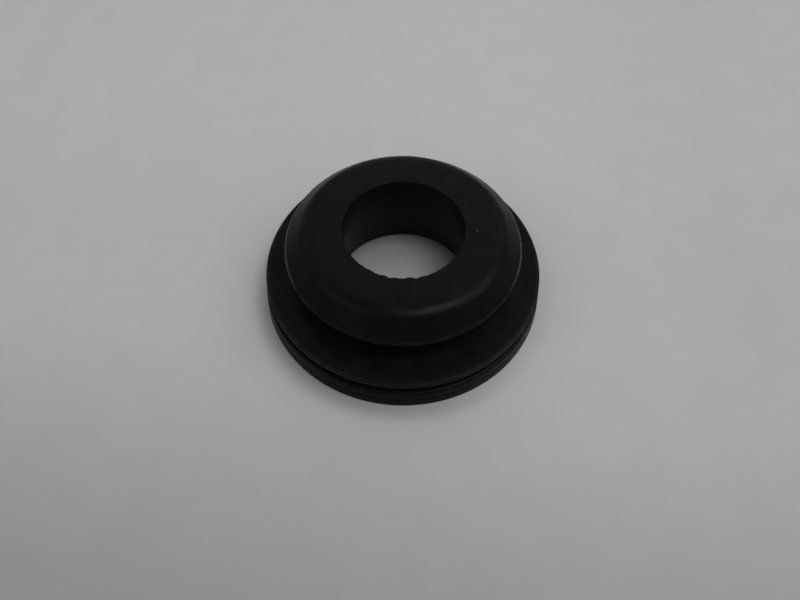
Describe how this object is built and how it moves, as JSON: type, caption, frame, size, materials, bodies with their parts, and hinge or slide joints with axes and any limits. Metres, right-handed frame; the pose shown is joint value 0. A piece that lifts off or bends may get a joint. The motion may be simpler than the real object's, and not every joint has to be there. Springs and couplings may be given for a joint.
{
  "type": "rubber grommet",
  "caption": "Black rubber grommet: a bevelled head that snaps through a panel, a neck for the panel's hole, a wide flange with a grooved rim, and a through bore.",
  "frame": {"origin": "centre of the flange's flat underside, on the bore's axis", "axes": "+Z along the bore, from the flange up to the head; the part is round, so X and Y are free"},
  "size_m": [0.0392, 0.0392, 0.0122],
  "materials": {
    "rubber": "matte moulded rubber"
  },
  "bodies": {
    "root": {"grommet": "rubber"}
  },
  "joints": []
}
